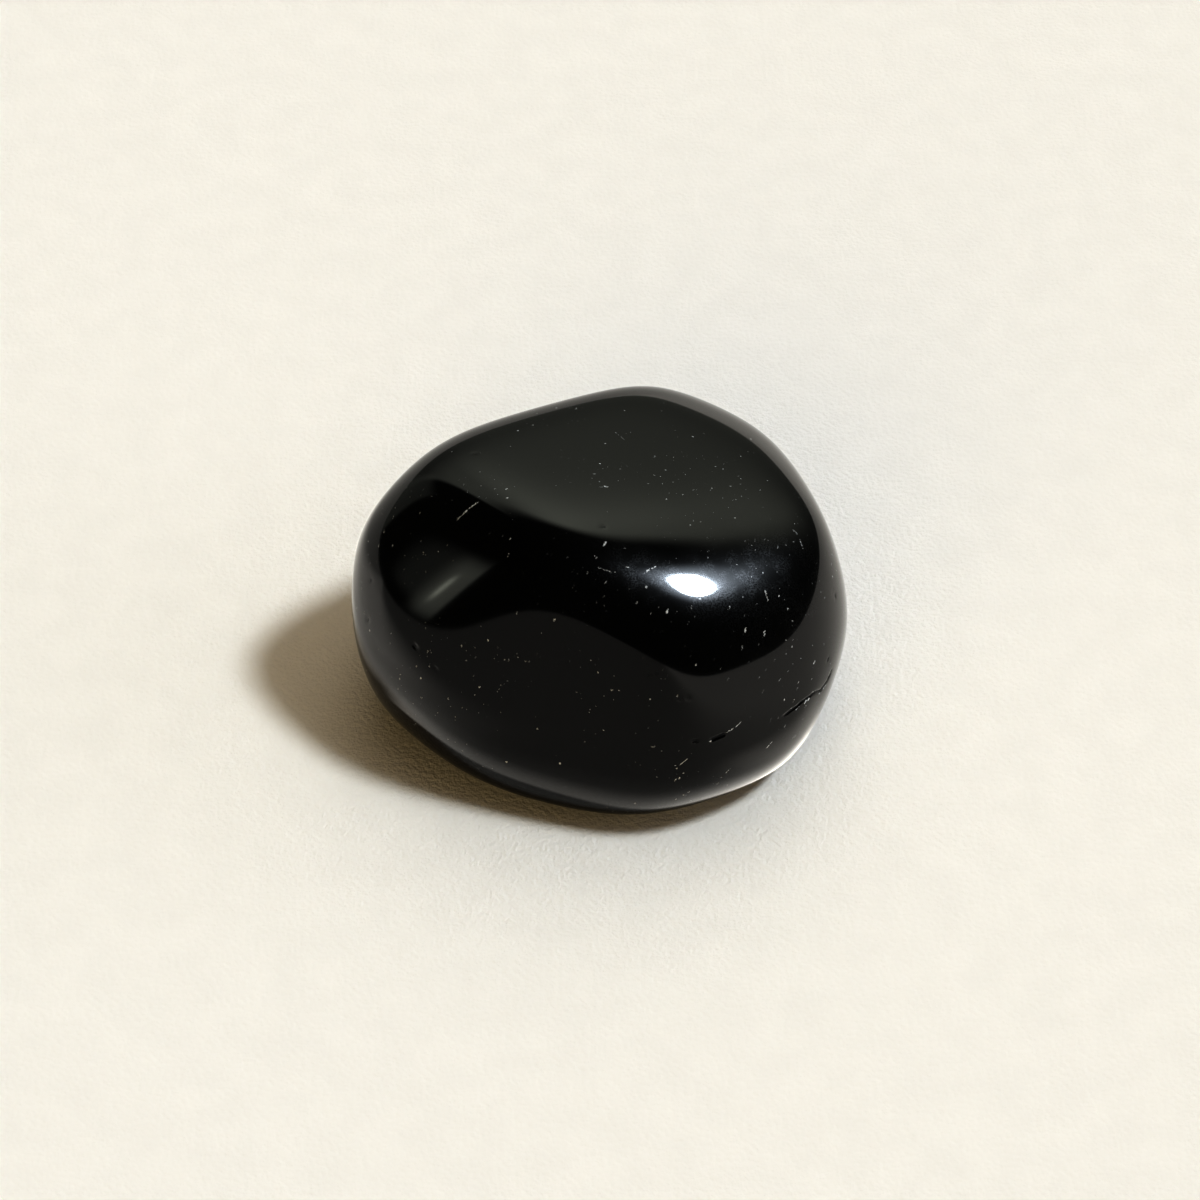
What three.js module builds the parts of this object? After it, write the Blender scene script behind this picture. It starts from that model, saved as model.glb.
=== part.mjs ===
// A tumbled and polished obsidian stone, about 32 mm long: one piece of volcanic glass.
//
// The stone began as a broken chunk, and tumbling has rounded it: each fracture face is still
// there as a nearly flat side, and every edge between two faces has become a smooth shoulder.
// The shape says the same thing. Each side is a plane, given by the direction it faces and its
// distance from the middle of the stone, and the skin is where
//
//     the sum over the sides of exp((n . p - distance) / softness) = 1
//
// n is the side's outward direction and p a point on the skin. Far from an edge one term is
// close to 1 and the skin lies on that plane. Near an edge two or three terms share the sum,
// and the skin draws in to a shoulder whose radius grows with the softness.
//
// Units are millimetres and degrees, +Z is up, and the stone rests on the plane z = 0 with its
// bounding box centred on the Z axis.

import * as THREE from "three";
import { mergeVertices } from "three/addons/utils/BufferGeometryUtils.js";

// How far tumbling has rounded the edges, and the gentler rounding of the underside.
const EDGE_SOFTNESS = 1.2;
const BASE_SOFTNESS = 2.2;

// The underside is worn flat this far up from the lowest point of the rounded shape.
const REST_WEAR = 0.2;

// The azimuth turns from +X (the right end) towards +Y (the back). The elevation is above the
// horizontal. The distance is from the middle of the stone to the side's plane.
const SIDES = [
  { name: "top", azimuth: 65, elevation: 75, distance: 10.7 },
  { name: "front", azimuth: 254, elevation: 13, distance: 12.6 },
  { name: "front right", azimuth: 301, elevation: 20, distance: 15.7 },
  { name: "front right shoulder", azimuth: 309, elevation: 61, distance: 14.0 },
  { name: "right front", azimuth: 340, elevation: 17, distance: 17.2 },
  { name: "right", azimuth: 18, elevation: 13, distance: 15.4 },
  { name: "back right", azimuth: 57, elevation: 33, distance: 16.1 },
  { name: "back", azimuth: 87, elevation: -3, distance: 19.6 },
  { name: "back left", azimuth: 123, elevation: 15, distance: 12.8 },
  { name: "left back", azimuth: 157, elevation: 38, distance: 16.0 },
  { name: "left", azimuth: 170, elevation: -8, distance: 15.7 },
  { name: "left shoulder", azimuth: 221, elevation: 34, distance: 13.7 },
  { name: "under left", azimuth: 222, elevation: -7, distance: 15.3 },
  { name: "under front left", azimuth: 246, elevation: -37, distance: 21.5 },
  { name: "under front", azimuth: 295, elevation: -20, distance: 16.4 },
  { name: "under right", azimuth: 344, elevation: -16, distance: 16.3 },
  { name: "under back", azimuth: 80, elevation: -41, distance: 15.9 },
  { name: "base", azimuth: 0, elevation: -90, distance: 6.9, softness: BASE_SOFTNESS },
];

// Each edge of the starting icosahedron is cut into this many steps.
const EDGE_STEPS = 16;

// No point of the skin is farther from the middle than this.
const REACH = 40;
const HALVINGS = 40;

const OBSIDIAN_BLACK = 0x0b0c0b;
const POLISHED_ROUGHNESS = 0.08;

function outward({ azimuth, elevation }) {
  const polar = THREE.MathUtils.degToRad(90 - elevation);
  const turn = THREE.MathUtils.degToRad(azimuth);
  return new THREE.Vector3(
    Math.sin(polar) * Math.cos(turn),
    Math.sin(polar) * Math.sin(turn),
    Math.cos(polar),
  );
}

const planes = SIDES.map((side) => ({
  normal: outward(side),
  distance: side.distance,
  softness: side.softness ?? EDGE_SOFTNESS,
}));

// The sum in the formula above: under 1 inside the stone and over 1 outside it.
function fullness(point) {
  let sum = 0;
  for (const { normal, distance, softness } of planes) {
    sum += Math.exp((normal.dot(point) - distance) / softness);
  }
  return sum;
}

// The distance from the middle to the skin along a direction, by halving the interval.
function skinRadius(direction) {
  const probe = new THREE.Vector3();
  let inside = 0;
  let outside = REACH;
  for (let i = 0; i < HALVINGS; i += 1) {
    const middle = (inside + outside) / 2;
    probe.copy(direction).multiplyScalar(middle);
    if (fullness(probe) < 1) {
      inside = middle;
    } else {
      outside = middle;
    }
  }
  return inside;
}

// A sphere of even triangles whose points move in or out, each along its own direction, until
// they lie on the skin. Directions that meet the worn underside first stop on its plane.
function stoneGeometry() {
  const sphere = new THREE.IcosahedronGeometry(1, EDGE_STEPS - 1);
  sphere.deleteAttribute("normal");
  sphere.deleteAttribute("uv");
  const skin = mergeVertices(sphere);

  const down = new THREE.Vector3(0, 0, -1);
  const restDepth = skinRadius(down) - REST_WEAR;
  const points = skin.getAttribute("position");
  const point = new THREE.Vector3();
  for (let i = 0; i < points.count; i += 1) {
    point.fromBufferAttribute(points, i).normalize();
    const drop = Math.max(point.dot(down), 0);
    const radius = skinRadius(point);
    point.multiplyScalar(drop * radius > restDepth ? restDepth / drop : radius);
    points.setXYZ(i, point.x, point.y, point.z);
  }

  skin.computeBoundingBox();
  const { min, max } = skin.boundingBox;
  skin.translate(-(min.x + max.x) / 2, -(min.y + max.y) / 2, -min.z);
  skin.computeVertexNormals();
  return skin;
}

const obsidian = new THREE.MeshStandardMaterial({
  color: OBSIDIAN_BLACK,
  roughness: POLISHED_ROUGHNESS,
  metalness: 0,
});

const stone = new THREE.Mesh(stoneGeometry(), obsidian);
stone.name = "obsidian_stone";

const part = new THREE.Group();
part.add(stone);

export default part;
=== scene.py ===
"""A tumbled and polished obsidian stone on textured paper, with one key light and broad fills.

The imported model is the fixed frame. The stone that is seen is a finer skin round the same solid,
with the chips, pits and hairline crack cut into it.
"""

import math

import bpy
import numpy as np
from bpy.props import FloatProperty, FloatVectorProperty, IntProperty, PointerProperty
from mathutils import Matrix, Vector


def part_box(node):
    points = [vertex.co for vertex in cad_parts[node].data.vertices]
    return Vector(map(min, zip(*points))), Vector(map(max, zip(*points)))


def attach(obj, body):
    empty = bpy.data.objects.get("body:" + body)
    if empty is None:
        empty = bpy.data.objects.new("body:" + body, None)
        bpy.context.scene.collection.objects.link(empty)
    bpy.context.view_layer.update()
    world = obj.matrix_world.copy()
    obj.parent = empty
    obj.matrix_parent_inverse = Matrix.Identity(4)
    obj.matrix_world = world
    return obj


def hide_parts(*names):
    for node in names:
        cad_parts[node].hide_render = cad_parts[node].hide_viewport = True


bl_info = {
    "name": "Obsidian Stone",
    "version": (1, 0, 0),
    "blender": (4, 5, 0),
    "location": "3D View > Sidebar > Obsidian",
    "description": "Adds a tumbled obsidian stone and the paper, lights and camera round it",
    "category": "Add Mesh",
}

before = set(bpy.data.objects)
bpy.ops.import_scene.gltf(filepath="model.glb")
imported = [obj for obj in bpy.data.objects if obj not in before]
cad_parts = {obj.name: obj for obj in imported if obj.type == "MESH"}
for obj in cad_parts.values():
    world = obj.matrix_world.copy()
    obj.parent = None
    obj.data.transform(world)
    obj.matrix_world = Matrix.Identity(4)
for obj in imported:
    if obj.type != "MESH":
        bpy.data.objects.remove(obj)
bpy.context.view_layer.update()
STONE_NODE = "obsidian_stone"

# The stone's shape is worked out in millimetres, and the frame is in metres.
MM = 0.001

# The point inside the stone that its sides are measured from: its place in the frame, in
# millimetres.
MIDDLE = np.array([0.01, -1.53, 6.7])

# The azimuth of the side that the camera looks from.
FRONT = -90.0

# Keeps a division by a length that may be nothing within bounds.
TINY = 1e-12

# The sides of the stone: azimuth and elevation that each faces in degrees, and its distance
# from the middle in millimetres.
SIDES = {
    "top": (65, 75, 10.7),
    "front": (254, 13, 12.6),
    "front right": (301, 20, 15.7),
    "front right shoulder": (309, 61, 14.0),
    "right front": (340, 17, 17.2),
    "right": (18, 13, 15.4),
    "back right": (57, 33, 16.1),
    "back": (87, -3, 19.6),
    "back left": (123, 15, 12.8),
    "left back": (157, 38, 16.0),
    "left": (170, -8, 15.7),
    "left shoulder": (221, 34, 13.7),
    "under left": (222, -7, 15.3),
    "under front left": (246, -37, 21.5),
    "under front": (295, -20, 16.4),
    "under right": (344, -16, 16.3),
    "under back": (80, -41, 15.9),
    "base": (0, -90, 6.9),
}

# Farther from the middle than any point of the skin, in millimetres, and how often the interval
# from the middle to there is halved to find the skin.
REACH = 40.0
HALVINGS = 36

# Where the skin's grid is drawn together, so that fine damage has enough points: azimuth and
# elevation of the place, and its radius in degrees. The strength is how much smaller the angles
# get at the place itself.
DRAW_IN = [(324, 4, 15), (296, 9, 16)]
DRAW_STRENGTH = 0.6

# Chips and pits, each a stroke from one place on the skin to another (azimuth and elevation),
# with its half width and depth in millimetres.
CHIPS = [
    ((296.8, 5.5), (299.9, 6.1), 0.14, 0.12),
    ((292.5, 6.0), (293.6, 5.8), 0.13, 0.10),
    ((288.4, 18.0), (292.8, 17.7), 0.07, 0.05),
    ((283.4, 24.9), (286.2, 25.5), 0.07, 0.05),
    ((211.9, 13.3), (212.7, 13.2), 0.12, 0.08),
    ((219.8, 11.3), (220.4, 11.0), 0.10, 0.07),
    ((196.4, 9.2), (196.3, 9.8), 0.12, 0.08),
    ((191.4, 17.8), (191.6, 17.5), 0.09, 0.05),
    ((192.5, 12.2), (192.6, 11.8), 0.09, 0.05),
    ((200.5, 6.5), (200.9, 6.3), 0.09, 0.05),
    ((341.5, 19.8), (341.8, 18.2), 0.09, 0.06),
    ((331.7, 8.7), (331.9, 7.9), 0.11, 0.07),
    ((166.4, 54.0), (168.2, 54.9), 0.09, 0.05),
    ((269.6, 65.2), (274.4, 64.7), 0.06, 0.04),
]

# The hairline crack: the places that it runs through, and its half width and depth.
CRACK = [
    (332.8, 3.9), (330.9, 3.2), (328.8, 3.1), (327.0, 3.0), (325.6, 4.0), (324.0, 4.5),
    (321.9, 4.6), (320.4, 4.9), (319.0, 4.5), (317.5, 4.6), (315.4, 4.2),
]
CRACK_HALF_WIDTH = 0.09
CRACK_DEPTH = 0.14

# Slight swells of the shoulder that the key light is mirrored in: azimuth and elevation, turn
# from level in degrees, then length, breadth and height in millimetres. A height below 0 makes a
# hollow.
SWELLS = [
    (306, 44.5, -20, 3.5, 6.0, 0.12),
    (306, 44.5, -20, 5.0, 1.7, -0.09),
]
# A swell ends this far below the plane that touches the stone at its centre, in millimetres, so
# that it leaves the far side alone.
SWELL_REACH = 15.0

# Places where fine scuffs dull the polish: azimuth and elevation, radius in degrees, and how much.
SCUFFED = [
    (320, 35, 12, 1.0), (303, 43, 7, 0.6), (284, 51, 8, 0.9), (335, 32, 11, 0.6),
    (262, 50, 9, 0.35),
]

# Pale scratches and painted glints, both drawn in the pale dust colour: from one place to another,
# and half width in millimetres.
PALE_SCRATCHES_AND_GLINTS = [
    ((201.9, 47.9), (202.0, 55.0), 0.06),
    ((270.0, 83.1), (291.0, 83.0), 0.06),
    ((80.0, 59.0), (71.5, 62.8), 0.04),
    ((288.0, 50.7), (292.8, 51.4), 0.08),
    ((272.0, 59.2), (272.8, 60.0), 0.10),
    ((269.4, 53.1), (274.8, 51.8), 0.04),
    ((299.2, 38.8), (299.4, 39.2), 0.09),
    ((291.4, 39.8), (291.6, 40.2), 0.10),
    ((311.5, 28.6), (311.8, 28.9), 0.12),
    ((309.0, 25.3), (309.2, 25.5), 0.08),
    ((316.1, 25.4), (316.3, 26.0), 0.09),
    ((345.7, 36.6), (345.3, 35.3), 0.06),
    ((343.8, 34.5), (342.0, 33.2), 0.06),
    ((323.2, 33.7), (322.0, 31.6), 0.06),
    ((288.0, -6.0), (288.3, -5.4), 0.08),
    ((288.9, -5.3), (289.1, -4.8), 0.08),
    ((289.2, -0.9), (290.9, 0.8), 0.05),
    ((310.0, -2.3), (311.4, -1.2), 0.06),
    ((299.6, -5.9), (300.8, -4.6), 0.04),
    ((296.4, 5.0), (296.8, 5.5), 0.09),
    ((300.3, 6.4), (302.0, 6.8), 0.04),
    ((303.0, 7.2), (304.3, 7.8), 0.04),
    ((324.2, 4.8), (324.6, 4.6), 0.07),
    ((317.0, 4.8), (317.4, 4.6), 0.07),
    ((329.8, 2.5), (328.5, 2.4), 0.06),
    ((326.9, 2.4), (326.2, 2.7), 0.06),
    ((322.8, 3.9), (321.4, 4.0), 0.07),
    ((319.6, 4.1), (318.6, 3.9), 0.05),
]

# A stroke longer than this many millimetres is cut up to follow the skin.
LONGEST_STROKE = 0.9

# How far the outlines of specks and scratches are shifted to and fro in all, in millimetres.
RAGGEDNESS = 0.32

# The nicks are specks drawn out along Y in one set and along X in the other: the scale of X, Y
# and Z that draws them out.
LONG_ALONG_Y = (1.0, 0.25, 1.0)
LONG_ALONG_X = (0.3, 1.0, 0.8)

GLASS_IOR = 1.5

# Zones of painted light and painted shade on the paper, which show only in what the stone mirrors
# and nowhere else: a painted glow that makes the paper look brighter there, and painted shade
# that makes it look dimmer. They set how bright the paper looks in the stone, and are no feature
# of real paper. Each has a strength and its bounds in millimetres: across to the right, along to
# the back, and away from the centre below. Two bounds are where the zone begins and where it is
# full, and four are also where it stops being full and where it ends.
PAINTED_GLOW_ZONES = {
    "ring in front": (1.6, {"away": (16.8, 17.4, 17.5, 21), "along": (-6, -10)}),
    "left, near": (0.8, {"across": (-10, -18), "along": (-30, -8, 10, 30), "away": (17.5, 20)}),
    "left, far": (
        0.5, {"across": (-10, -18), "along": (-30, -8, 10, 30), "away": (24, 34, 100, 300)},
    ),
    "right": (0.45, {"across": (5, 45)}),
    "front right": (1.0, {"across": (8, 16), "along": (-24, -18, -12, -4), "away": (30, 23)}),
}
# Painted shade: this zone darkens the paper where the stone mirrors it.
PAINTED_SHADE_ZONE = (0.35, {"across": (40, -5), "along": (-8, -20), "away": (19, 24.5)})
ZONE_CENTRE = (-1.5, 0.5, 0.0)

# How bright the things are that the stone mirrors in the room, besides the card.
WALL_LIGHT = 0.4
PANEL_LIGHT = 0.42
STRIP_LIGHT = 1.45
TUBE_LIGHT = 5.0
DARK_LIGHT = 0.04

FLOOR_SIDES = 96

# How far from the middle of the key light its glow reaches, in degrees.
HALO_RADIUS = 14.0

# The slightly yellowish green tint of the room that the stone mirrors.
STUDIO_TINT = (1.0, 1.03, 0.9)


class StoneSettings(bpy.types.PropertyGroup):
    edge_softness: FloatProperty(
        name="Edge Softness", default=1.2, min=0.3, max=4.0,
        description="How far tumbling has rounded the edges, in millimetres",
    )
    base_softness: FloatProperty(
        name="Base Softness", default=2.2, min=0.3, max=4.0,
        description="How far the edges of the underside are rounded, in millimetres",
    )
    rest_wear: FloatProperty(
        name="Rest Wear", default=0.2, min=0.0, max=2.0,
        description="How much of the underside is worn flat, in millimetres",
    )
    steps: IntProperty(
        name="Grid Steps", default=126, min=8, max=128,
        description="Steps along each edge of the six grids that cover the stone",
    )
    glass_color: FloatVectorProperty(
        name="Glass Color", subtype="COLOR", size=3, min=0.0, max=1.0,
        default=(0.0014, 0.0015, 0.0014),
        description="Colour of the clean black glass",
    )
    # The pale colour is partly crushed glass and partly painted glints on specks and scratches.
    dust_and_glint_color: FloatVectorProperty(
        name="Dust And Glint Color", subtype="COLOR", size=3, min=0.0, max=1.0,
        default=(0.55, 0.56, 0.55),
        description="Colour of the pale crushed glass in specks and scratches",
    )
    specular: FloatProperty(
        name="Specular", default=0.5, min=0.0, max=1.0, subtype="FACTOR",
        description="Strength of the mirror reflection of the polish",
    )
    polish: FloatProperty(
        name="Polish Roughness", default=0.06, min=0.0, max=1.0, subtype="FACTOR",
        description="Roughness of clean polished glass",
    )
    haze: FloatProperty(
        name="Haze", default=0.55, min=0.0, max=1.0, subtype="FACTOR",
        description="Weight of the soft glow that fine scratches put round reflections",
    )
    haze_roughness: FloatProperty(
        name="Haze Roughness", default=0.32, min=0.0, max=1.0, subtype="FACTOR",
        description="Roughness of that glow",
    )


class StageSettings(bpy.types.PropertyGroup):
    paper_color: FloatVectorProperty(
        name="Paper Color", subtype="COLOR", size=3, min=0.0, max=1.0,
        default=(0.942, 0.905, 0.842),
        description="Colour of the paper under the stone",
    )
    paper_radius: FloatProperty(
        name="Paper Radius", default=3.0, min=0.2, max=20.0, unit="LENGTH",
        description="Radius of the round floor",
    )
    grain_size: FloatProperty(
        name="Grain Size", default=0.34, min=0.1, max=5.0,
        description="Spacing of the paper's tooth, in millimetres",
    )
    key_elevation: FloatProperty(
        name="Key Elevation", default=56.5, min=5.0, max=90.0,
        description="Height of the key light above the horizon, in degrees",
    )
    key_azimuth: FloatProperty(
        name="Key Azimuth", default=-1.0, min=-180.0, max=180.0,
        description="Direction that the key light comes from, in degrees from +X to +Y",
    )
    key_spread: FloatProperty(
        name="Key Spread", default=math.radians(9.5), min=0.0, max=1.5, subtype="ANGLE",
        description="Angle across the key light as the stone sees it",
    )
    key_strength: FloatProperty(
        name="Key Strength", default=2.09, min=0.0, max=20.0,
        description="Strength of the key light",
    )
    halo_strength: FloatProperty(
        name="Halo Strength", default=8.0, min=0.0, max=50.0,
        description="Brightness of the soft glow round the key light",
    )
    key_color: FloatVectorProperty(
        name="Key Color", subtype="COLOR", size=3, min=0.0, max=1.0,
        default=(0.82, 0.905, 1.0),
        description="Colour of the key light",
    )
    back_fill_color: FloatVectorProperty(
        name="Back Fill", subtype="COLOR", size=3, min=0.0, max=4.0,
        default=(1.92, 1.82, 1.68),
        description="Broad soft light from high behind the stone",
    )
    overhead_color: FloatVectorProperty(
        name="Overhead Fill", subtype="COLOR", size=3, min=0.0, max=4.0,
        default=(0.20, 0.16, 0.11),
        description="Soft warm light from the ceiling",
    )
    front_fill_color: FloatVectorProperty(
        name="Front Fill", subtype="COLOR", size=3, min=0.0, max=4.0,
        default=(3.0, 2.4, 1.35),
        description="Warm light from low in front of the stone",
    )
    side_fill_color: FloatVectorProperty(
        name="Side Fill", subtype="COLOR", size=3, min=0.0, max=4.0,
        default=(1.58, 1.72, 2.2),
        description="Cool light from low at the right",
    )
    room_color: FloatVectorProperty(
        name="Room Color", subtype="COLOR", size=3, min=0.0, max=1.0,
        default=(0.92, 0.90, 0.86),
        description="The pale wall that is seen beyond the paper",
    )
    contrast: FloatProperty(
        name="Contrast Gamma", default=0.625, min=0.2, max=2.0,
        description="Display gamma: below 1 the picture has deeper darks",
    )
    view_elevation: FloatProperty(
        name="View Elevation", default=45.0, min=0.0, max=89.0,
        description="Height of the camera above the horizon, in degrees",
    )
    view_distance: FloatProperty(
        name="View Distance", default=0.2168, min=0.05, max=5.0, unit="LENGTH",
        description="Distance from the camera to the middle of the stone",
    )
    lens: FloatProperty(
        name="Lens", default=100.0, min=10.0, max=500.0,
        description="Focal length of the camera, in millimetres",
    )


def outward(azimuth, elevation):
    """The unit vector that faces an azimuth and elevation: (cos a cos e, sin a cos e, sin e)."""
    a, e = np.radians(azimuth), np.radians(elevation)
    return np.stack([np.cos(a) * np.cos(e), np.sin(a) * np.cos(e), np.sin(e)], axis=-1)


def cube_sphere(steps):
    """Directions that cover a sphere, and the quads between them.

    Each of a cube's six faces is a grid of two parameters from -1 to 1. A parameter t stands
    for the slope tan(45 degrees x t), which makes the cells nearly equal on the sphere. Points
    on the cube's edges belong to two or three grids and are merged by their whole-number place.
    """
    first, second = np.meshgrid(np.arange(steps + 1), np.arange(steps + 1), indexing="ij")
    corner = (steps + 1) * np.arange(steps)[:, None] + np.arange(steps)
    around = np.stack([corner, corner + steps + 1, corner + steps + 2, corner + 1], axis=-1)
    places, quads = [], []
    for axis in range(3):
        for end in (0, steps):
            face = np.empty((steps + 1, steps + 1, 3), int)
            face[..., axis] = end
            face[..., (axis + 1) % 3] = first if end else second
            face[..., (axis + 2) % 3] = second if end else first
            quads.append(around.reshape(-1, 4) + len(places) * (steps + 1) ** 2)
            places.append(face.reshape(-1, 3))
    lattice, where = np.unique(np.concatenate(places), axis=0, return_inverse=True)
    slopes = np.tan(np.pi / 4 * (2 * lattice / steps - 1))
    directions = slopes / np.linalg.norm(slopes, axis=1, keepdims=True)
    return directions, where.reshape(-1)[np.concatenate(quads)]


def draw_in(directions):
    """Directions moved towards each place of DRAW_IN, for a finer grid there.

    At t radii from the place, the angle is made smaller by the share: strength times
    exp(-t squared). So far directions stay put and none change their order.
    """
    for azimuth, elevation, radius in DRAW_IN:
        centre = outward(azimuth, elevation)
        angle = np.arccos(np.clip(directions @ centre, -1, 1))[:, None]
        share = DRAW_STRENGTH * np.exp(-((angle / math.radians(radius)) ** 2))
        aside = directions - centre * np.cos(angle)
        aside /= np.maximum(np.linalg.norm(aside, axis=1, keepdims=True), TINY)
        new_angle = angle * (1 - share)
        directions = centre * np.cos(new_angle) + aside * np.sin(new_angle)
    return directions


class Skin:
    """The rounded solid: its skin is where the sum over the sides of
    exp((n . p - distance) / softness) = 1, and its underside is worn flat."""

    def __init__(self, settings):
        azimuths, elevations, distances = np.array(list(SIDES.values()), float).T
        self.normals = outward(azimuths, elevations)
        self.distances = distances
        self.softness = np.full(len(distances), settings.edge_softness)
        self.softness[list(SIDES).index("base")] = settings.base_softness
        down = np.array([[0.0, 0.0, -1.0]])
        self.rest_depth = self.radius(down)[0] - settings.rest_wear

    def radius(self, directions):
        """Distance from the middle to the skin along each direction, by halving."""
        along = directions @ self.normals.T
        inside = np.zeros(len(directions))
        outside = np.full(len(directions), REACH)
        for _ in range(HALVINGS):
            middle = (inside + outside) / 2
            sums = np.exp((along * middle[:, None] - self.distances) / self.softness)
            full = sums.sum(axis=1) > 1
            outside = np.where(full, middle, outside)
            inside = np.where(full, inside, middle)
        return inside

    def points(self, directions):
        """Points of the skin along the directions, in millimetres from the middle."""
        radii = self.radius(directions)
        drop = np.maximum(-directions[:, 2], TINY)
        radii = np.where(drop * radii > self.rest_depth, self.rest_depth / drop, radii)
        return directions * radii[:, None]

    def facing(self, points):
        """Unit normals: the slope of the sum, in which each side has a share."""
        shares = np.exp((points @ self.normals.T - self.distances) / self.softness)
        slope = (shares / self.softness) @ self.normals
        return slope / np.linalg.norm(slope, axis=1, keepdims=True)

    def place(self, azimuth, elevation):
        """The one point of the skin at an azimuth and elevation, as the middle sees it."""
        return self.points(outward(azimuth, elevation)[None, :])[0]


def stroke_distance(points, start, end):
    """Distance of each point from the straight stroke between two points."""
    run = end - start
    along = np.clip((points - start) @ run / max(run @ run, TINY), 0, 1)
    return np.linalg.norm(points - start - along[:, None] * run, axis=1)


def damage(skin, points):
    """How deep each point is cut in, and how much of it is broken rather than polished.

    A chip is a scoop: depth times (1 - (distance / half width) squared), so it has a sharp rim.
    The crack is a V: depth times (1 - distance / half width). Both are polished at the rim and
    broken from half a half width inwards.
    """
    depth = np.zeros(len(points))
    broken = np.zeros(len(points))
    for start, end, half_width, chip_depth in CHIPS:
        away = stroke_distance(points, skin.place(*start), skin.place(*end)) / half_width
        depth = np.maximum(depth, chip_depth * np.clip(1 - away**2, 0, 1))
        broken = np.maximum(broken, np.clip(2 * (1 - away), 0, 1))
    bends = [skin.place(*bend) for bend in CRACK]
    for start, end in zip(bends, bends[1:]):
        away = stroke_distance(points, start, end) / CRACK_HALF_WIDTH
        depth = np.maximum(depth, CRACK_DEPTH * np.clip(1 - away, 0, 1))
        broken = np.maximum(broken, np.clip(2 * (1 - away), 0, 1))
    return depth, broken


def swelling(skin, points):
    """How far each point stands out: the sum over SWELLS of height times
    exp(-(u / length) squared - (v / breadth) squared), with u and v measured from the swell's
    centre along and across it."""
    total = np.zeros(len(points))
    for azimuth, elevation, turn, length, breadth, height in SWELLS:
        centre = skin.place(azimuth, elevation)
        normal = skin.facing(centre[None, :])[0]
        level = np.cross((0.0, 0.0, 1.0), normal)
        level /= np.linalg.norm(level)
        climb = np.cross(normal, level)
        cosine, sine = math.cos(math.radians(turn)), math.sin(math.radians(turn))
        u = (points - centre) @ (level * cosine + climb * sine)
        v = (points - centre) @ (climb * cosine - level * sine)
        near = (points - centre) @ normal > -SWELL_REACH
        total += near * height * np.exp(-((u / length) ** 2) - (v / breadth) ** 2)
    return total


def scuffing(directions):
    """How scuffed each point is: the sum over SCUFFED of amount times
    exp(-(angle / radius) squared), and never over 1."""
    total = np.zeros(len(directions))
    for azimuth, elevation, radius, amount in SCUFFED:
        angle = np.degrees(np.arccos(np.clip(directions @ outward(azimuth, elevation), -1, 1)))
        total += amount * np.exp(-((angle / radius) ** 2))
    return np.minimum(total, 1.0)


def strokes_on_skin(skin, strokes):
    """Strokes cut into short straight ones, so that each follows the curve of the skin."""
    short = []
    for start, end, half_width in strokes:
        length = np.linalg.norm(skin.place(*end) - skin.place(*start))
        stops = np.linspace(start, end, 2 + int(length / LONGEST_STROKE))
        places = [skin.place(*stop) * MM + MIDDLE * MM for stop in stops]
        short += [(a, b, half_width * MM) for a, b in zip(places, places[1:])]
    return short


def fit_to_box(points, low, high):
    """Points scaled and shifted along each axis so that their box is the given one."""
    lowest, highest = points.min(axis=0), points.max(axis=0)
    return low + (points - lowest) * (high - low) / (highest - lowest)


def mesh_object(name, points, faces, material):
    """A smooth-shaded mesh object at the origin, made of points and faces."""
    mesh = bpy.data.meshes.new(name)
    mesh.from_pydata(points, [], faces)
    mesh.shade_smooth()
    mesh.materials.append(material)
    piece = bpy.data.objects.new(name, mesh)
    bpy.context.scene.collection.objects.link(piece)
    return piece


class Signal:
    """A socket of a shader, with arithmetic that adds Math or Vector Math nodes."""

    def __init__(self, shader, socket):
        self.shader = shader
        self.socket = socket

    def math(self, operation, *values):
        is_vector = any(
            v.socket.type in {"VECTOR", "RGBA"} if isinstance(v, Signal) else isinstance(v, tuple)
            for v in values
        )
        kind = "ShaderNodeVectorMath" if is_vector else "ShaderNodeMath"
        return self.shader.node(kind, {"operation": operation}, dict(enumerate(values)))

    def __add__(self, other):
        return self.math("ADD", self, other)

    def __radd__(self, other):
        return self.math("ADD", other, self)

    def __sub__(self, other):
        return self.math("SUBTRACT", self, other)

    def __rsub__(self, other):
        return self.math("SUBTRACT", other, self)

    def __mul__(self, other):
        return self.math("MULTIPLY", self, other)

    def __rmul__(self, other):
        return self.math("MULTIPLY", other, self)

    def __truediv__(self, other):
        return self.math("DIVIDE", self, other)

    def __pow__(self, other):
        return self.math("POWER", self, other)

    def largest(self, other):
        return self.math("MAXIMUM", self, other)

    def step(self, low, high, start=0.0, end=1.0):
        """start below low, end above high and smooth between them. low may be the larger one."""
        settings = {"interpolation_type": "SMOOTHSTEP"}
        values = {"Value": self, "From Min": low, "From Max": high, "To Min": start, "To Max": end}
        return self.shader.node("ShaderNodeMapRange", settings, values)

    def between(self, low, rise, fall, high):
        """0 below low and above high, 1 from rise to fall, and smooth between them."""
        return self.step(low, rise) * self.step(high, fall)


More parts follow.
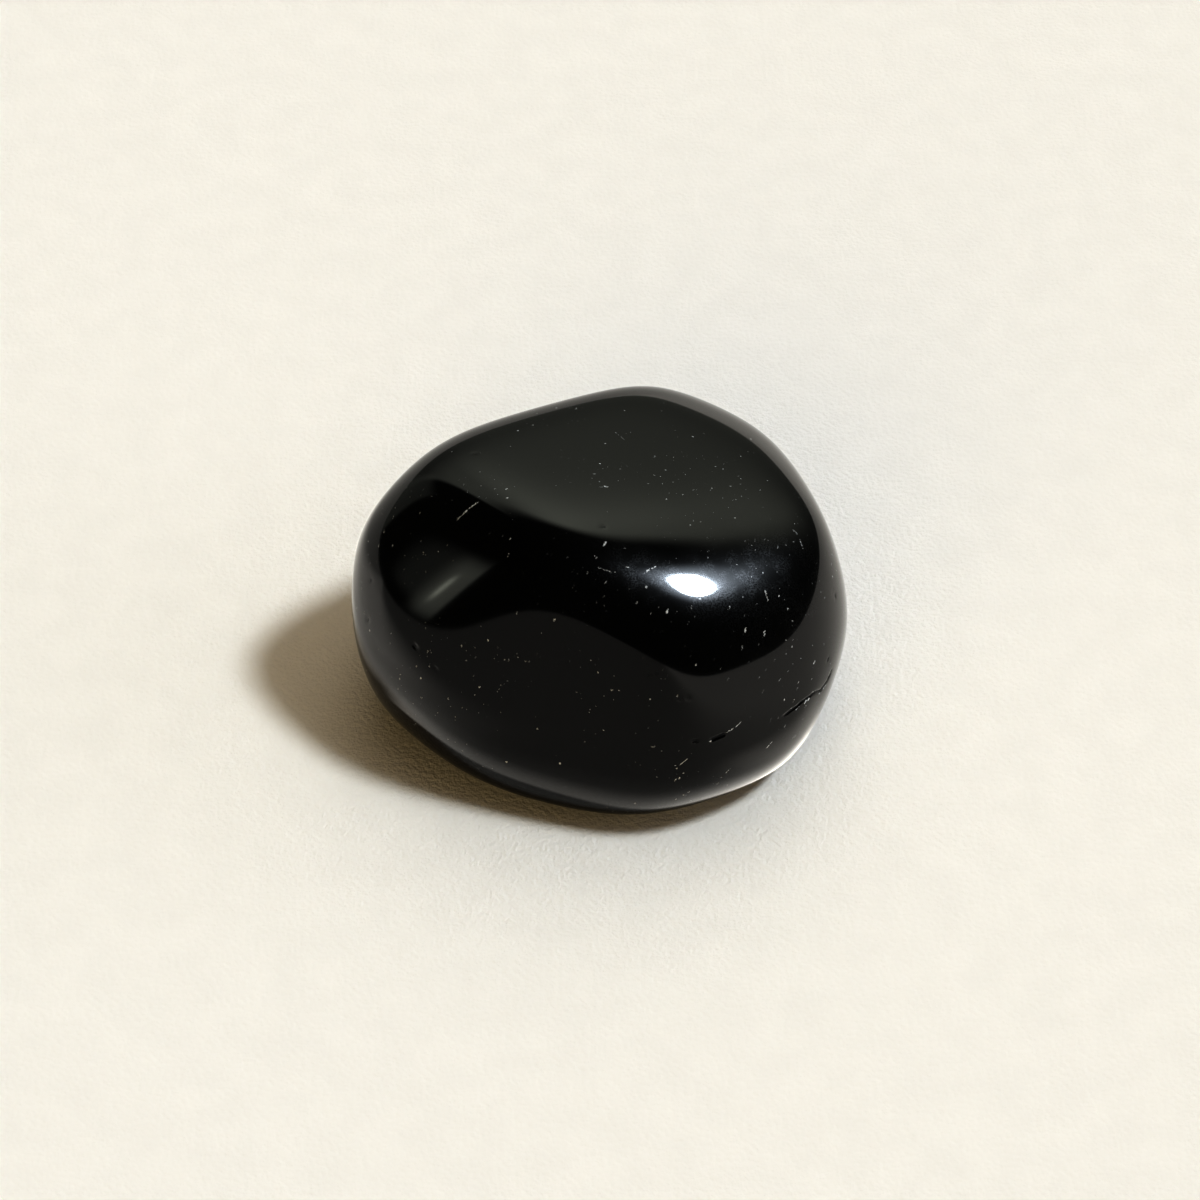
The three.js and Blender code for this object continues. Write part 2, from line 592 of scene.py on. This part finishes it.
class Shader:
    """A material's or world's node tree, cleared, with one method that adds any node."""

    def __init__(self, owner):
        owner.use_nodes = True
        self.tree = owner.node_tree
        self.tree.nodes.clear()

    def node(self, kind, settings=None, values=None, output=None):
        """Adds a node: its settings first, then the value or link of each socket. The result is
        the named output, or the first one that is in use."""
        made = self.tree.nodes.new(kind)
        for name, value in (settings or {}).items():
            setattr(made, name, value)
        for key, value in (values or {}).items():
            socket = self.pick(made.inputs, key)
            if isinstance(value, Signal):
                self.tree.links.new(value.socket, socket)
            else:
                socket.default_value = self.fit(socket, value)
        if not made.outputs:
            return None
        return Signal(self, self.pick(made.outputs, output))

    @staticmethod
    def pick(sockets, key):
        """The socket with that number or name among those in use; None stands for the first."""
        used = [s for s in sockets if s.enabled]
        if isinstance(key, int):
            return used[key]
        return next(s for s in used if key is None or s.name == key)

    @staticmethod
    def fit(socket, value):
        """The value in the form that the socket takes: a colour gets its alpha."""
        return (*value, 1.0) if socket.type == "RGBA" else value

    def blend(self, share, first, second):
        """A colour between two colours."""
        values = {"Factor": share, "A": first, "B": second}
        return self.node("ShaderNodeMix", {"data_type": "RGBA"}, values)

    def noise(self, place, scale, detail=2.0, roughness=0.5):
        """Cloudy noise from 0 to 1, with about as many clouds to the metre as scale says."""
        values = {"Vector": place, "Scale": scale, "Detail": detail, "Roughness": roughness}
        return self.node("ShaderNodeTexNoise", None, values)

    def object_place(self):
        return self.node("ShaderNodeTexCoord", output="Object")

    def light_path(self, question):
        """1 for the kind of ray that the question names, and 0 for others."""
        return self.node("ShaderNodeLightPath", output=question)

    def axes(self, vector):
        """The X, Y and Z of a vector."""
        kind = "ShaderNodeSeparateXYZ"
        return [self.node(kind, None, {"Vector": vector}, axis) for axis in "XYZ"]


def specks(shader, place, spacing, radius, share):
    """Round dots with soft rims, one in each of a share of the cells of a Voronoi pattern.

    The cells are about the spacing across, in millimetres. A dot's radius is random, up to the
    given one and at least a fifth of it.
    """
    settings = {"feature": "F1"}
    values = {"Vector": place, "Scale": 1 / (spacing * MM), "Randomness": 1.0}
    away = shader.node("ShaderNodeTexVoronoi", settings, values)
    cell = Signal(shader, shader.pick(away.socket.node.outputs, "Color"))
    chance = shader.node("ShaderNodeSeparateColor", None, {"Color": cell}, "Red")
    size = shader.node("ShaderNodeSeparateColor", None, {"Color": cell}, "Green")
    reach = (size * size * 0.8 + 0.2) * (radius / spacing)
    chosen = chance.step(1 - share, 1 - share + 0.02)
    return (1 - away / reach).step(0.0, 0.5) * chosen


def stroke_mask(shader, place, start, end, half_width):
    """1 on the straight stroke between two points on the stone, fading to 0 at its sides."""
    run = end - start
    length_squared = float(run @ run)
    offset = place - tuple(start)
    settings = {"operation": "DOT_PRODUCT"}
    dot = shader.node("ShaderNodeVectorMath", settings, {0: offset, 1: tuple(run)}, "Value")
    along = shader.node(
        "ShaderNodeMath", {"operation": "DIVIDE", "use_clamp": True}, {0: dot, 1: length_squared}
    )
    scaled = shader.node(
        "ShaderNodeVectorMath", {"operation": "SCALE"}, {"Vector": tuple(run), "Scale": along}
    )
    settings = {"operation": "LENGTH"}
    away = shader.node("ShaderNodeVectorMath", settings, {0: offset - scaled}, "Value")
    return away.step(half_width, half_width * 0.3)


def obsidian_material(settings, strokes):
    """Black glass: a sharp polish, a haze where it is scuffed, pale specks, nicks and scratches
    that are partly crushed glass and partly painted glints, and rough glass in the chips and the
    crack."""
    material = bpy.data.materials.new("obsidian_polished")
    shader = Shader(material)
    place = shader.object_place()
    broken = shader.node("ShaderNodeAttribute", {"attribute_name": "broken"}, None, "Fac")
    scuffed = shader.node("ShaderNodeAttribute", {"attribute_name": "scuffed"}, None, "Fac")

    # Small pale specks and nicks, partly painted glints, crowd together in patches and where the
    # polish is scuffed, and gaps break up the scratches.
    crowded = (shader.noise(place, 140.0).step(0.46, 0.64) * 0.8).largest(scuffed)
    shift = (shader.noise(place, 8000.0, detail=1.0) - 0.5) * (RAGGEDNESS * MM)
    ragged = place + shift
    dots = specks(shader, ragged, spacing=0.9, radius=0.105, share=0.85)
    small_dots = specks(shader, ragged, spacing=0.45, radius=0.10, share=0.75)
    dots = dots.largest(small_dots * crowded)
    nicks = specks(shader, ragged * LONG_ALONG_Y, spacing=0.7, radius=0.06, share=0.8)
    other_nicks = specks(shader, ragged * LONG_ALONG_X, spacing=0.7, radius=0.06, share=0.8)
    dots = dots.largest(nicks.largest(other_nicks) * crowded)
    gaps = shader.noise(place, 5200.0).step(0.36, 0.50)
    for start, end, half_width in strokes:
        dots = dots.largest(stroke_mask(shader, ragged, start, end, half_width) * gaps)

    # The clean glass is slightly cloudy.
    cloud = shader.noise(place, 90.0, detail=3.0).step(0.35, 0.75)
    lighter = tuple(1.6 * part for part in settings.glass_color)
    glass = shader.blend(cloud, tuple(settings.glass_color), lighter)
    # The pale marks paint crushed glass and, in part, glints of light.
    color = shader.blend(dots, glass, tuple(settings.dust_and_glint_color))

    # The polish is faintly smeared, and dust and broken glass are rough.
    smear = shader.noise(place, 260.0, detail=4.0).step(0.3, 0.8)
    roughness = settings.polish + smear * 0.02 + dots * 0.4 + broken * 0.35

    # The haze is gritty and patchy, and there is a trace of it everywhere.
    grit = shader.noise(place, 9000.0, roughness=0.6).step(0.42, 0.60)
    patches = shader.noise(place, 900.0, detail=3.0).step(0.36, 0.62)
    haze = (grit * patches + 0.45) * scuffed * settings.haze + 0.02

    # The polish is slightly wavy, and broken glass has a tooth.
    waviness = shader.noise(place, 160.0, detail=1.0)
    tooth = shader.noise(place, 9000.0) * broken
    height = waviness * 0.6 + tooth * 0.5
    relief = {"Strength": 0.25, "Distance": 0.04 * MM, "Height": height}
    surface = shader.node(
        "ShaderNodeBsdfPrincipled",
        None,
        {
            "Base Color": color,
            "Roughness": roughness,
            "IOR": GLASS_IOR,
            "Normal": shader.node("ShaderNodeBump", None, relief),
            "Specular IOR Level": settings.specular,
            "Coat Weight": haze,
            "Coat Roughness": settings.haze_roughness,
        },
    )
    shader.node("ShaderNodeOutputMaterial", None, {"Surface": surface})
    return material


def zone(measures, strength, bounds):
    """The strength inside a zone, and 0 outside: the strength times a step for each measure."""
    amount = strength
    for name, edges in bounds.items():
        measure = measures[name]
        amount = amount * (measure.between(*edges) if len(edges) == 4 else measure.step(*edges))
    return amount


def paper_material(settings):
    """Warm white drawing paper: matt, with a fine tooth and faint, wide unevenness, and zones of
    painted glow and painted shade that only the stone's reflections show."""
    material = bpy.data.materials.new("drawing_paper")
    shader = Shader(material)
    place = shader.object_place()
    across, along, _ = shader.axes(place)
    offset = place - tuple(MM * part for part in ZONE_CENTRE)
    away = shader.node("ShaderNodeVectorMath", {"operation": "LENGTH"}, {0: offset}, "Value")
    measures = {"across": across / MM, "along": along / MM, "away": away / MM}

    # The tooth is deepest round the stone.
    tooth = shader.noise(place, 1 / (settings.grain_size * MM), detail=3.0, roughness=0.6)
    tooth = tooth * measures["away"].step(36.0, 16.0, 0.5, 1.1)
    relief = {"Strength": 1.0, "Distance": 0.1 * MM, "Height": tooth}

    paper_color = tuple(settings.paper_color)
    darker = tuple(0.985 * part for part in paper_color)
    pulp = shader.noise(place, 350.0, detail=4.0).step(0.3, 0.7)
    # Painted light and shade for reflection rays only: a painted glow in some zones, given as
    # emission, and painted shade in one zone, where the colour is blended to black.
    reflected = shader.light_path("Is Glossy Ray")
    painted_glow = sum(zone(measures, *row) for row in PAINTED_GLOW_ZONES.values())
    painted_shade = zone(measures, *PAINTED_SHADE_ZONE)
    color = shader.blend(pulp, paper_color, darker)
    color = shader.blend(reflected * painted_shade, color, (0.0, 0.0, 0.0))
    surface = shader.node(
        "ShaderNodeBsdfPrincipled",
        None,
        {
            "Base Color": color,
            "Roughness": 0.9,
            "Specular IOR Level": 0.1,
            "Normal": shader.node("ShaderNodeBump", None, relief),
            # The painted glow: the paper glows in the stone's reflections, though it is no lamp.
            "Emission Color": paper_color * (reflected * painted_glow),
            "Emission Strength": 1.0,
        },
    )
    shader.node("ShaderNodeOutputMaterial", None, {"Surface": surface})
    return material


def add_floor(settings):
    """The floor: a disc, a fan of triangles round its middle."""
    turns = np.linspace(0, 2 * np.pi, FLOOR_SIDES, endpoint=False)
    rim = settings.paper_radius * np.stack([np.cos(turns), np.sin(turns), 0 * turns], axis=1)
    points = np.concatenate([[[0.0, 0.0, 0.0]], rim])
    corners = np.arange(FLOOR_SIDES)
    faces = np.stack([0 * corners, 1 + corners, 1 + np.roll(corners, -1)], axis=1)
    floor = mesh_object("paper_floor", points, faces.tolist(), paper_material(settings))


def add_key_light(settings):
    """One distant round light, which gives the highlight and casts the shadow."""
    light = bpy.data.lights.new("key_light", "SUN")
    light.energy = settings.key_strength
    light.angle = settings.key_spread
    light.color = settings.key_color
    lamp = bpy.data.objects.new("key_light", light)
    towards = Vector(outward(settings.key_azimuth, settings.key_elevation))
    lamp.rotation_euler = towards.to_track_quat("Z", "Y").to_euler()
    bpy.context.scene.collection.objects.link(lamp)


def studio_brightness(axes):
    """How bright the room is that the stone mirrors, by the direction, in degrees.

    Behind the stone stands a card, brightest in its middle and towards its top, with a low dim
    wall at its left. Low at the left end, the dim panel has a slanting upper edge, with a
    brighter strip at its front side and a narrow bright tube in the strip. The rest is nearly
    black. The panel's azimuth is counted from the left end towards the front.
    """
    east, north, up = axes
    height = up.math("ARCSINE", up) * math.degrees(1)
    azimuth = north.math("ARCTAN2", north, east) * math.degrees(1)
    from_west = north.math("ARCTAN2", north * -1.0, east * -1.0) * math.degrees(1)

    card_shape = height.step(56.0, 45.0) * azimuth.between(14.0, 72.0, 134.0, 142.0)
    card_light = height.step(4.0, 48.0, 0.38, 2.48)
    dimmer_left = azimuth.step(112.0, 84.0, 0.6, 1.0)
    dimmer_right = azimuth.step(66.0, 84.0, 0.75, 1.0)
    card = card_shape * card_light * dimmer_left * dimmer_right
    wall = azimuth.between(126.0, 142.0, 158.0, 163.0) * height.step(28.0, 18.0)
    below_slant = (height - from_west * 0.35).step(12.0, 6.0)
    panel = height.step(2.0, 4.5) * below_slant * from_west.between(-1.0, 6.0, 16.2, 17.0)
    strip = from_west.between(8.0, 12.5, 16.2, 17.0) * height.between(0.0, 3.0, 8.0, 14.5)
    tube = from_west.between(11.8, 12.3, 12.7, 13.2) * height.between(3.5, 5.5, 6.5, 8.5)
    left_end = panel * PANEL_LIGHT + strip * STRIP_LIGHT + tube * TUBE_LIGHT
    return card + wall * WALL_LIGHT + left_end + DARK_LIGHT


def lobe(axes, azimuth, elevation):
    """The cosine of the angle from a direction, or 0 where that is over 90 degrees."""
    east, north, up = axes
    x, y, z = (float(part) for part in outward(azimuth, elevation))
    return (east * x + north * y + up * z).largest(0.0)


def light_world(settings):
    """The room: pale to the camera, soft coloured fills for matt surfaces, a dark studio for
    reflections, and a glow round the key light for both."""
    world = bpy.data.worlds.new("studio_room")
    bpy.context.scene.world = world
    shader = Shader(world)
    axes = shader.axes(shader.node("ShaderNodeTexCoord", output="Generated"))

    near_key = lobe(axes, settings.key_azimuth, settings.key_elevation)
    halo = near_key.step(math.cos(math.radians(HALO_RADIUS)), 1.0) ** 3
    halo = tuple(settings.halo_strength * part for part in settings.key_color) * halo

    # Each fill's colour, azimuth and elevation, and how narrow it is.
    fills = (
        (settings.back_fill_color, 80.0, 60.0, 12),
        (settings.front_fill_color, -110.0, 8.0, 8),
        (settings.side_fill_color, 0.0, 5.0, 12),
        (settings.overhead_color, 0.0, 90.0, 4),
    )
    fill = halo
    for color, azimuth, elevation, narrowness in fills:
        fill = fill + tuple(color) * lobe(axes, azimuth, elevation) ** narrowness

    mirrored = STUDIO_TINT * studio_brightness(axes) + halo
    light = shader.blend(shader.light_path("Is Glossy Ray"), fill, mirrored)
    light = shader.blend(shader.light_path("Is Camera Ray"), light, tuple(settings.room_color))
    background = shader.node("ShaderNodeBackground", None, {"Color": light, "Strength": 1.0})
    shader.node("ShaderNodeOutputWorld", None, {"Surface": background})
    world.cycles.sampling_method = "NONE"


def add_camera(settings):
    """A long lens that looks down at the middle of the stone from the front."""
    data = bpy.data.cameras.new("camera")
    data.lens = settings.lens
    data.clip_start = 0.01
    data.clip_end = 20.0
    camera = bpy.data.objects.new("camera", data)
    towards = Vector(outward(FRONT, settings.view_elevation))
    camera.location = Vector(MIDDLE * MM) + towards * settings.view_distance
    camera.rotation_euler = towards.to_track_quat("Z", "Y").to_euler()
    bpy.context.scene.collection.objects.link(camera)
    bpy.context.scene.camera = camera


class OBSIDIAN_OT_add_stone(bpy.types.Operator):
    """Add the obsidian stone in place of the plain solid"""

    bl_idname = "obsidian.add_stone"
    bl_label = "Stone"
    bl_options = {"REGISTER", "UNDO"}

    def execute(self, context):
        settings = context.scene.obsidian_stone
        skin = Skin(settings)
        directions, quads = cube_sphere(settings.steps)
        directions = draw_in(directions)
        smooth = skin.points(directions)
        depth, broken = damage(skin, smooth)
        lift = swelling(skin, smooth) - depth
        low, high = (np.array(corner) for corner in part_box(STONE_NODE))
        points = fit_to_box(smooth * MM, low, high) + skin.facing(smooth) * lift[:, None] * MM

        material = obsidian_material(settings, strokes_on_skin(skin, PALE_SCRATCHES_AND_GLINTS))
        piece = mesh_object("polished_obsidian", points, quads.tolist(), material)
        for name, values in (("broken", broken), ("scuffed", scuffing(directions))):
            layer = piece.data.attributes.new(name, "FLOAT", "POINT")
            layer.data.foreach_set("value", values)
        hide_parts(STONE_NODE)
        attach(piece, "root")
        return {"FINISHED"}


class OBSIDIAN_OT_add_stage(bpy.types.Operator):
    """Add the paper floor, the lights and the camera"""

    bl_idname = "obsidian.add_stage"
    bl_label = "Stage"
    bl_options = {"REGISTER", "UNDO"}

    def execute(self, context):
        settings = context.scene.obsidian_stage
        add_floor(settings)
        add_key_light(settings)
        light_world(settings)
        add_camera(settings)
        context.scene.view_settings.view_transform = "Standard"
        context.scene.view_settings.gamma = settings.contrast
        return {"FINISHED"}


class OBSIDIAN_PT_panel(bpy.types.Panel):
    """Lists the stone's and the stage's settings and the operators that make them"""

    bl_idname = "OBSIDIAN_PT_panel"
    bl_label = "Obsidian Stone"
    bl_space_type = "VIEW_3D"
    bl_region_type = "UI"
    bl_category = "Obsidian"

    def draw(self, context):
        for group, operator in (
            (context.scene.obsidian_stone, OBSIDIAN_OT_add_stone),
            (context.scene.obsidian_stage, OBSIDIAN_OT_add_stage),
        ):
            column = self.layout.column(align=True)
            for name in type(group).__annotations__:
                column.prop(group, name)
            column.operator(operator.bl_idname)


CLASSES = (
    StoneSettings,
    StageSettings,
    OBSIDIAN_OT_add_stone,
    OBSIDIAN_OT_add_stage,
    OBSIDIAN_PT_panel,
)


def register():
    for cls in CLASSES:
        bpy.utils.register_class(cls)
    bpy.types.Scene.obsidian_stone = PointerProperty(type=StoneSettings)
    bpy.types.Scene.obsidian_stage = PointerProperty(type=StageSettings)


def unregister():
    del bpy.types.Scene.obsidian_stage
    del bpy.types.Scene.obsidian_stone
    for cls in reversed(CLASSES):
        bpy.utils.unregister_class(cls)


def main():
    register()
    bpy.ops.obsidian.add_stone()
    bpy.ops.obsidian.add_stage()


if __name__ == "__main__":
    main()
